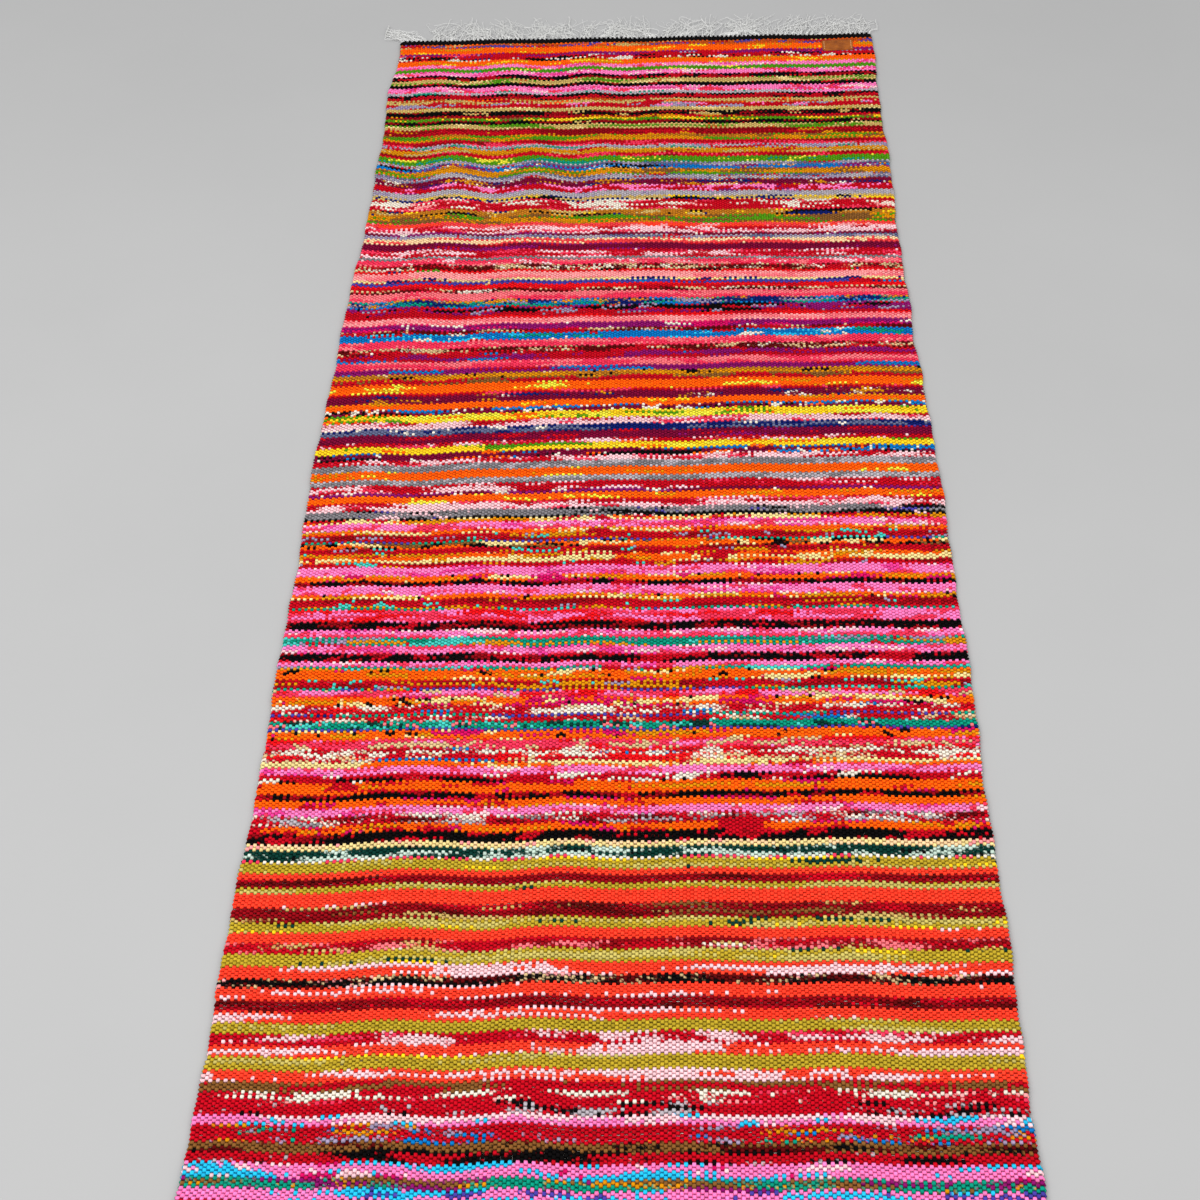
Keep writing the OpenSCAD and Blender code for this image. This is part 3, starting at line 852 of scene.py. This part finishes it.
def make_stitches(body):
    """Two rows of thread that hold the label's short ends."""
    low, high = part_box("label_stitches")
    label_low, label_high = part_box("leather_label")
    stitches, steps, sides = 5, 9, 6
    radius = 0.00036
    edge = 0.003
    pitch = (label_high.y - label_low.y - 2 * edge) / stitches
    length = 0.62 * pitch
    t = np.linspace(-1, 1, steps)
    points, quads, triangles = [], [], []
    for x in (low.x + radius, high.x - radius):
        for i in range(stitches):
            y = label_low.y + edge + (i + 0.5) * pitch + t * length / 2
            z = label_high.z + 0.0001 - 0.0010 * np.abs(t) ** 5
            start = sum(len(p) for p in points)
            ring = []
            for ys, zs in zip(y, z):
                for side in range(sides):
                    angle = 2 * math.pi * side / sides
                    ring.append((x + radius * math.cos(angle), ys, zs + radius * math.sin(angle)))
            points.append(np.array(ring))
            quads.append(ring_faces(steps, sides, start)[:, ::-1])
            triangles.append(cap_faces(steps, sides, start)[:, ::-1])
    piece = make_mesh("label_thread_rows", lay(np.concatenate(points)), np.concatenate(quads), THREAD, None,
                      np.concatenate(triangles))
    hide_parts("label_stitches")
    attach(piece, body)
    return piece


# ---------------------------------------------------------------- camera, floor and light

def make_camera():
    """A person stands just before the near end and looks down along the rug."""
    place = np.array([0.0645, -1.3797, 1.4287])
    left_turn, look_down, roll = math.radians(4.171), math.radians(49.523), math.radians(-3.260)
    forward = np.array([-math.sin(left_turn) * math.cos(look_down), math.cos(left_turn) * math.cos(look_down),
                        -math.sin(look_down)])
    level = np.cross(forward, [0, 0, 1])
    level /= np.linalg.norm(level)
    upright = np.cross(level, forward)
    right = math.cos(roll) * level + math.sin(roll) * upright
    top = -math.sin(roll) * level + math.cos(roll) * upright
    data = bpy.data.cameras.new("camera")
    data.lens, data.sensor_width = 49.8, 36
    camera = bpy.data.objects.new("camera", data)
    matrix = np.eye(4)
    matrix[:3, 0], matrix[:3, 1], matrix[:3, 2], matrix[:3, 3] = right, top, -forward, place
    camera.matrix_world = Matrix(matrix.tolist())
    bpy.context.scene.collection.objects.link(camera)
    bpy.context.scene.camera = camera


def make_floor():
    size = 14.0
    corners = [(-size, -size, 0), (size, -size, 0), (size, size, 0), (-size, size, 0)]
    mesh = bpy.data.meshes.new("floor")
    mesh.from_pydata(corners, [], [(0, 1, 2, 3)])
    mesh.materials.append(floor_material())
    floor = bpy.data.objects.new("floor", mesh)
    bpy.context.scene.collection.objects.link(floor)


def make_light(name, energy, size, place, target=(0, 0, 0)):
    data = bpy.data.lights.new(name, "AREA")
    data.energy, data.size, data.shape = energy, size, "SQUARE"
    light = bpy.data.objects.new(name, data)
    light.location = place
    aim = np.array(target, float) - np.array(place, float)
    pitch = math.atan2(math.hypot(aim[0], aim[1]), -aim[2])
    light.rotation_euler = (pitch, 0, math.atan2(-aim[0], aim[1]))
    bpy.context.scene.collection.objects.link(light)


def make_lights():
    make_light("window", 122, 3.0, (-1.9, -0.9, 3.2), (0, -0.3, 0))
    make_light("fill", 80, 3.0, (2.2, -1.2, 3.0), (0, -0.3, 0))
    world = bpy.data.worlds.new("studio")
    bpy.context.scene.world = world
    world.use_nodes = True
    background = world.node_tree.nodes["Background"]
    background.inputs["Color"].default_value = (1.0, 1.0, 1.0, 1)
    background.inputs["Strength"].default_value = 0.66
    bpy.context.scene.view_settings.view_transform = "Standard"


# ---------------------------------------------------------------- build

make_camera()
bands = make_bands()
far_heading, near_heading = make_heading(1, "far_end"), make_heading(-1, "near_end")
far_fringe, near_fringe = make_fringe(1, "far_end"), make_fringe(-1, "near_end")
label = make_label("far_end")
thread = make_stitches("far_end")
warp_near = make_warp("warp_ends_near", -WOVEN_END, -SPLIT,
                      ["warp_near_end", "warp_near_half"])
warp_middle = make_warp("warp_ends_middle", -SPLIT, SPLIT,
                        ["warp_near_half", "warp_far_half"])
warp_far = make_warp("warp_ends_far", SPLIT, WOVEN_END,
                     ["warp_far_half", "warp_far_end"])


make_floor()
make_lights()
